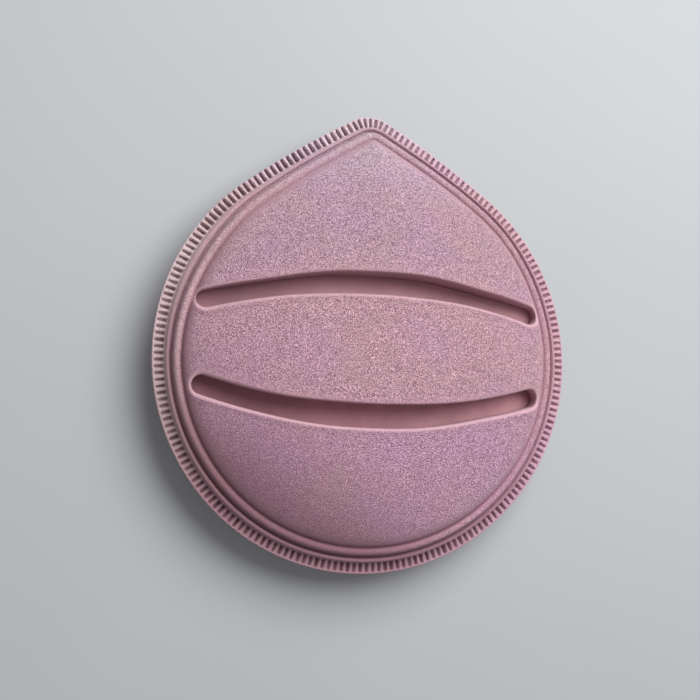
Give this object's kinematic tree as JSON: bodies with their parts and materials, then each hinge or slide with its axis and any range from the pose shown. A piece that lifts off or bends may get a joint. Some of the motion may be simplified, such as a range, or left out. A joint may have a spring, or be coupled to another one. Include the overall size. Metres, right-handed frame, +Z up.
{
  "type": "powder puff",
  "caption": "Teardrop powder puff: soft domed face, ribbed crimped rim and a moulded suede-like grip side with a finger band between arched slots.",
  "frame": {"origin": "on the table, under the middle of the puff's length and width", "axes": "+Z up from the soft face to the grip side, +Y towards the tip, +X to the right as seen from the grip side with the tip ahead"},
  "size_m": [0.0834, 0.09, 0.0189],
  "materials": {
    "face_cloth": "dusty pink short-pile velour, soft and matte",
    "sponge": "pale pink open-cell sponge",
    "floor_cloth": "smooth brown-pink knitted cloth",
    "rim": "dusty pink cloth layers pressed hard and ribbed by the weld",
    "grip_suede": "dusty pink brushed microfibre suede, fine grain, smooth where it is pressed",
    "backing_foam": "thin pale pink moulded foam",
    "lining": "thin smooth knitted lining"
  },
  "bodies": {
    "root": {"face_cover": "face_cloth", "foam_core": "sponge", "pocket_floor": "floor_cloth", "crimped_rim": "rim", "grip_cover": "grip_suede", "tip_pad": "backing_foam", "band_pad": "backing_foam", "heel_pad": "backing_foam", "band_lining": "lining"}
  },
  "joints": []
}
